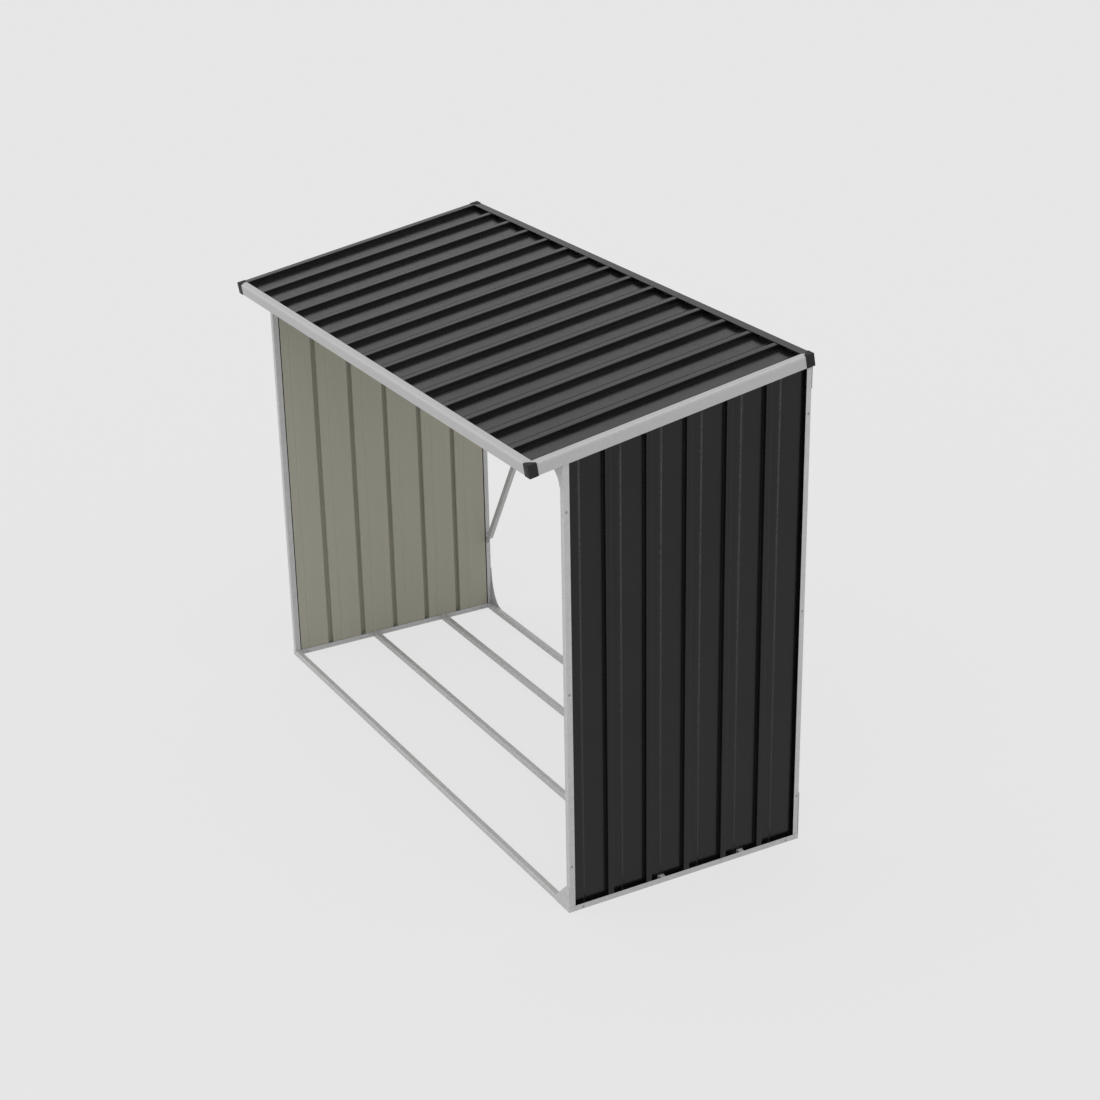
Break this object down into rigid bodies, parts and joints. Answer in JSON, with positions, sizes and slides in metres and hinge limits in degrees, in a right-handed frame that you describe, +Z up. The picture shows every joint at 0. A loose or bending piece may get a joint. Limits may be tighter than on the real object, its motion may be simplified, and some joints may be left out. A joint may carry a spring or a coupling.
{
  "type": "log store",
  "caption": "Free-standing steel log store, open on both long sides, with ribbed end walls, a ribbed lean-to roof with edge trims, channel rails and diagonal braces.",
  "frame": {"origin": "on the ground, in the middle of the outline seen from above", "axes": "+X along the length, +Y from the low open side to the high one, +Z up"},
  "size_m": [2, 0.9172, 1.5562],
  "materials": {
    "galvanised": "dull zinc, folded strip",
    "trim": "silver-grey coated strip, satin",
    "roof_coat": "anthracite coil coat, satin",
    "wall_coat": "anthracite coil coat outside, beige-grey backing coat inside",
    "cap": "dark grey moulded plastic, matt"
  },
  "bodies": {
    "root": {"base_front_rail": "galvanised", "base_back_rail": "galvanised", "base_left_rail": "galvanised", "base_right_rail": "galvanised", "floor_rail_front": "galvanised", "floor_rail_back": "galvanised", "post_front_left": "galvanised", "post_front_right": "galvanised", "post_back_left": "galvanised", "post_back_right": "galvanised", "roof_front_beam": "galvanised", "roof_back_beam": "galvanised", "roof_left_beam": "galvanised", "roof_right_beam": "galvanised", "brace_left": "galvanised", "brace_right": "galvanised", "base_gusset_front_right": "galvanised", "base_gusset_back_left": "galvanised", "base_gusset_back_right": "galvanised", "top_gusset_front_left": "galvanised", "top_gusset_front_right": "galvanised", "top_gusset_back_left": "galvanised", "top_gusset_back_right": "galvanised", "roof_trim_front": "trim", "roof_trim_back": "trim", "roof_trim_left": "trim", "roof_trim_right": "trim", "roof_sheet_1": "roof_coat", "roof_sheet_2": "roof_coat", "roof_sheet_3": "roof_coat", "roof_edge_strip_back": "roof_coat", "roof_edge_strip_left": "roof_coat", "left_wall_sheet": "wall_coat", "right_wall_sheet": "wall_coat", "corner_cap_front_left": "cap", "corner_cap_front_right": "cap", "corner_cap_back_left": "cap", "corner_cap_back_right": "cap"}
  },
  "joints": []
}
